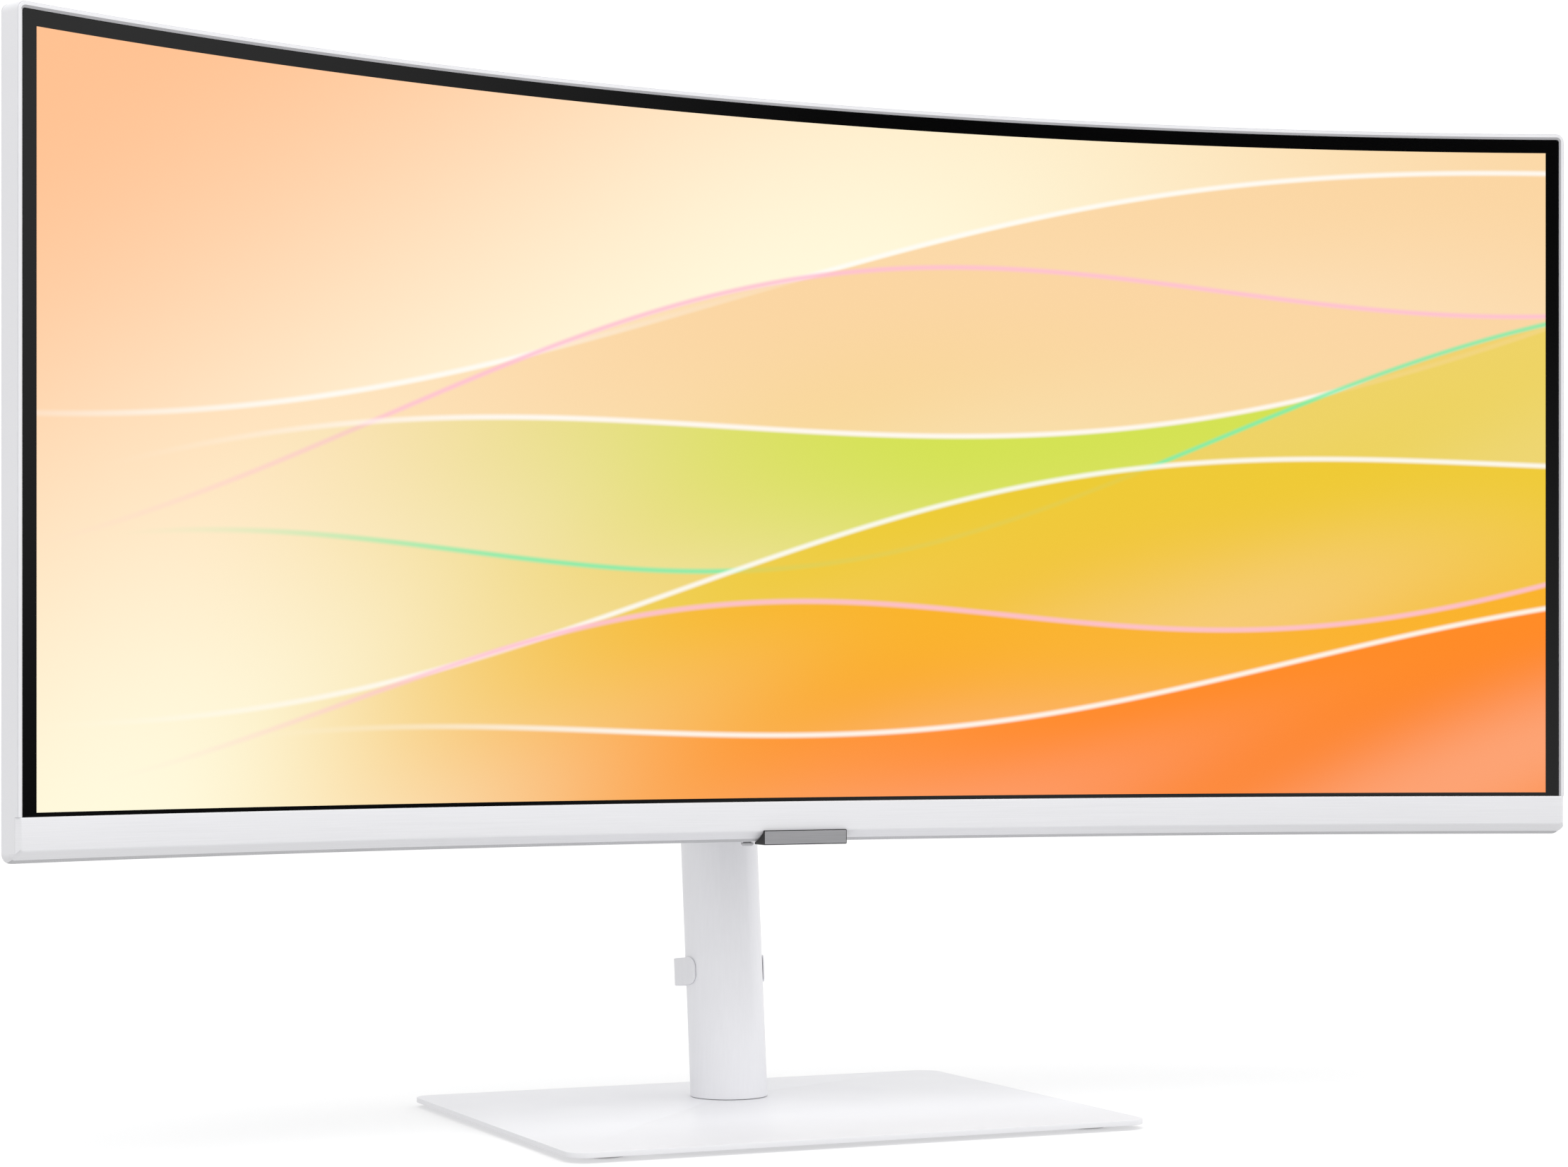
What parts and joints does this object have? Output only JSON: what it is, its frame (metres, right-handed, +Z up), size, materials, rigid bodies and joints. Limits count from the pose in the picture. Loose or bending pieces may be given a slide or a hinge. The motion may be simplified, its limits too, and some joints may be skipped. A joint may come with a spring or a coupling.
{
  "type": "computer monitor",
  "caption": "Wide curved computer monitor in white on a height-adjustable, tilting and swivelling round column with a flat rectangular base plate.",
  "frame": {"origin": "on the desk, under the middle of the monitor's whole outline", "axes": "+X to the viewer's right along the screen, +Y away from the viewer, +Z up; the screen faces -Y"},
  "size_m": [0.8032, 0.25, 0.5066],
  "materials": {
    "stand_white": "satin white powder coat on steel plate",
    "column_white": "satin white painted aluminium",
    "housing_white": "fine satin moulded plastic",
    "rear_white": "moulded plastic with a fine diagonal line texture",
    "grey_plastic": "moulded grey",
    "black_plastic": "moulded black",
    "rubber": "matte",
    "steel": "zinc-plated",
    "aluminium": "as extruded",
    "screen_glass": "matte anti-glare, lit picture in the active area",
    "optical_film": "white diffuser film",
    "acrylic": "clear light guide",
    "circuit_board": "green solder mask",
    "badge_metal": "fine brushed grey"
  },
  "bodies": {
    "base": {"base_plate": "stand_white", "foot_pad_front_left": "rubber", "foot_pad_front_right": "rubber", "foot_pad_rear_left": "rubber", "foot_pad_rear_right": "rubber", "swivel_post": "steel", "base_screw": "steel", "slide_washer": "grey_plastic", "spring_washer": "steel", "swivel_nut": "steel"},
    "column": {"column_tube": "column_white", "column_cap": "housing_white", "column_foot": "aluminium", "guide_rail": "aluminium", "drum_axle": "steel", "spring_ribbon": "steel", "cable_clip": "housing_white"},
    "drum": {"spring_drum": "steel"},
    "lift": {"carriage": "grey_plastic", "lift_arm": "column_white", "arm_screw_left": "steel", "arm_screw_right": "steel", "friction_disc_left": "grey_plastic", "friction_disc_right": "grey_plastic"},
    "head": {"lcd_panel": "screen_glass", "optical_sheets": "optical_film", "light_guide": "acrylic", "led_bar": "aluminium", "backlight_chassis": "steel", "mid_frame": "housing_white", "chin_bezel": "housing_white", "badge_plate": "badge_metal", "badge_holder": "black_plastic", "rear_cover": "rear_white", "main_board": "circuit_board", "power_board": "circuit_board", "speaker_left": "black_plastic", "speaker_right": "black_plastic", "hdmi_port": "steel", "display_port": "steel", "usb_c_port": "steel", "network_port": "black_plastic", "usb_a_ports": "steel", "audio_port": "black_plastic", "power_inlet": "black_plastic", "jog_housing": "black_plastic", "mount_frame": "steel", "head_bracket": "column_white", "bracket_screw_1": "steel", "bracket_screw_2": "steel", "bracket_screw_3": "steel", "bracket_screw_4": "steel", "hinge_pin": "steel", "hinge_nut": "steel", "hinge_cap_left": "housing_white", "hinge_cap_right": "housing_white"},
    "jog_gimbal": {"jog_ring": "black_plastic"},
    "jog_lever": {"jog_stick": "black_plastic"},
    "jog_button": {"jog_cap": "grey_plastic"}
  },
  "joints": [
    {"name": "swivel", "type": "hinge", "parent": "base", "child": "column", "pos_m": [0, 0.055, 0.005], "axis": [0, 0, 1], "range_deg": [-30, 30]},
    {"name": "height_slide", "type": "slide", "parent": "column", "child": "lift", "axis": [0, 0.1045, 0.9945], "range_m": [-0.095, 0.025], "deforming": ["spring_ribbon"]},
    {"name": "tilt_hinge", "type": "hinge", "parent": "lift", "child": "head", "pos_m": [0, 0.03, 0.32975], "axis": [-1, 0, 0], "range_deg": [-5, 20]},
    {"name": "drum_spin", "type": "hinge", "parent": "column", "child": "drum", "pos_m": [0, 0.09639, 0.39383], "axis": [-1, 0, 0], "range_deg": [-650, 172]},
    {"name": "jog_up_down", "type": "hinge", "parent": "head", "child": "jog_gimbal", "pos_m": [-0.0226, -0.02427, 0.14675], "axis": [1, 0, 0], "range_deg": [-6, 6], "stiffness_Nm_per_rad": 0.02},
    {"name": "jog_left_right", "type": "hinge", "parent": "jog_gimbal", "child": "jog_lever", "pos_m": [-0.0226, -0.02427, 0.14675], "axis": [0, 1, 0], "range_deg": [-6, 6], "stiffness_Nm_per_rad": 0.02},
    {"name": "jog_press", "type": "slide", "parent": "jog_lever", "child": "jog_button", "axis": [0, 0, 1], "range_m": [0, 0.00025], "stiffness_N_per_m": 600}
  ],
  "couplings": [
    {"joint": "drum_spin", "follows": "height_slide", "rad_per_m": 119}
  ]
}
